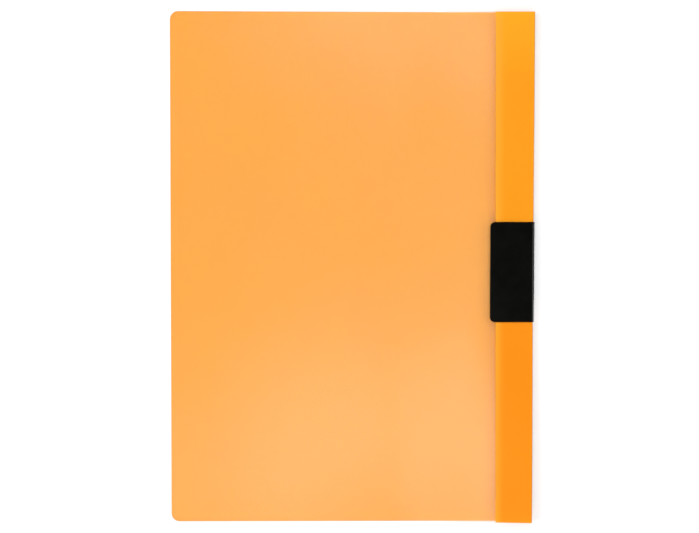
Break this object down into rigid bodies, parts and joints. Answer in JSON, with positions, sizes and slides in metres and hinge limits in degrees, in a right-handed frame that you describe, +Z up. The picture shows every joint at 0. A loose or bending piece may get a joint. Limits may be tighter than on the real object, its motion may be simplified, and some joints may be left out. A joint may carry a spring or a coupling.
{
  "type": "clip folder",
  "caption": "Flat document folder with a translucent back cover wrapped round the spine, a clear hinged front cover and a swinging sheet-steel clip on the spine.",
  "frame": {"origin": "middle of the folder's bounding box at its lowest level, the table it lies on", "axes": "+X across the covers towards the spine, +Y along the spine towards the head, +Z up, out of the front cover"},
  "size_m": [0.2206, 0.31, 0.0079],
  "materials": {
    "orange_sheet": "translucent orange polypropylene sheet, fine matt grain",
    "clear_film": "clear polypropylene film with a light haze",
    "black_lacquered_steel": "black lacquer on spring steel, satin",
    "plated_steel": "zinc plated steel"
  },
  "bodies": {
    "back": {"back_cover": "orange_sheet", "front_cover_margin": "clear_film", "pivot_rivet": "plated_steel", "rivet_washer": "plated_steel"},
    "front": {"front_cover": "clear_film"},
    "clip": {"clip": "black_lacquered_steel"}
  },
  "joints": [
    {"name": "front_cover_hinge", "type": "hinge", "parent": "back", "child": "front", "pos_m": [0.07765, 0, 0.0042], "axis": [0, 1, 0], "range_deg": [0, 165]},
    {"name": "clip_swing", "type": "hinge", "parent": "back", "child": "clip", "pos_m": [0.10365, -0.0259, 0], "axis": [0, 0, -1], "range_deg": [0, 90]}
  ]
}
